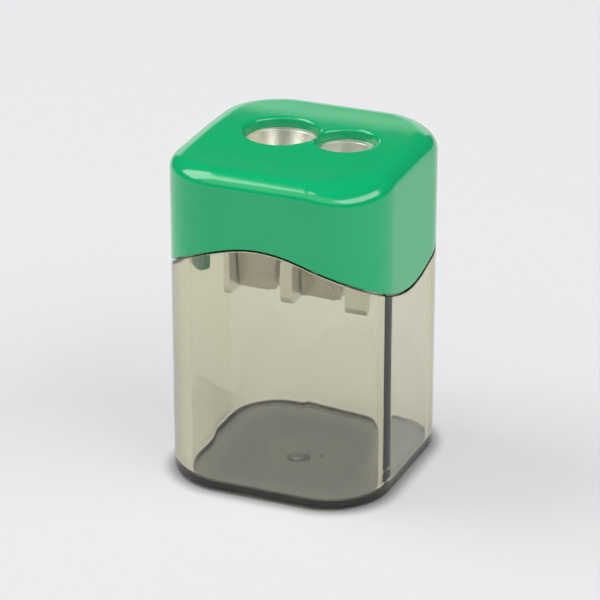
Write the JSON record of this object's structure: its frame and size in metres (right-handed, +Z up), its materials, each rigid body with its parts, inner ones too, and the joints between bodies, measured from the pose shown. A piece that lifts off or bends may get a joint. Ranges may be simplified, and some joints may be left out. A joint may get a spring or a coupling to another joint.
{
  "type": "double-hole pencil sharpener with shavings container",
  "caption": "Upright pencil sharpener: green plastic lid with a large and a small pencil hole over a metal wedge, on a smoky clear shavings container.",
  "frame": {"origin": "centre of the base, on the surface the sharpener stands on", "axes": "+Z up; +X along the front from the large hole to the small one; +Y from the front to the back"},
  "size_m": [0.038, 0.039, 0.0565],
  "materials": {
    "smoky_plastic": "clear smoky grey polystyrene, polished",
    "green_plastic": "solid green, satin gloss",
    "cast_metal": "machined magnesium, satin, bright turned bores",
    "blade_steel": "ground carbon steel",
    "screw_steel": "zinc-plated steel"
  },
  "bodies": {
    "container": {"container": "smoky_plastic"},
    "lid": {"lid": "green_plastic", "sharpener_body": "cast_metal", "large_blade": "blade_steel", "small_blade": "blade_steel", "large_blade_screw": "screw_steel", "small_blade_screw": "screw_steel"}
  },
  "joints": [
    {"name": "lid_lift", "type": "slide", "parent": "container", "child": "lid", "axis": [0, 0, 1], "range_m": [0, 0.03]}
  ]
}
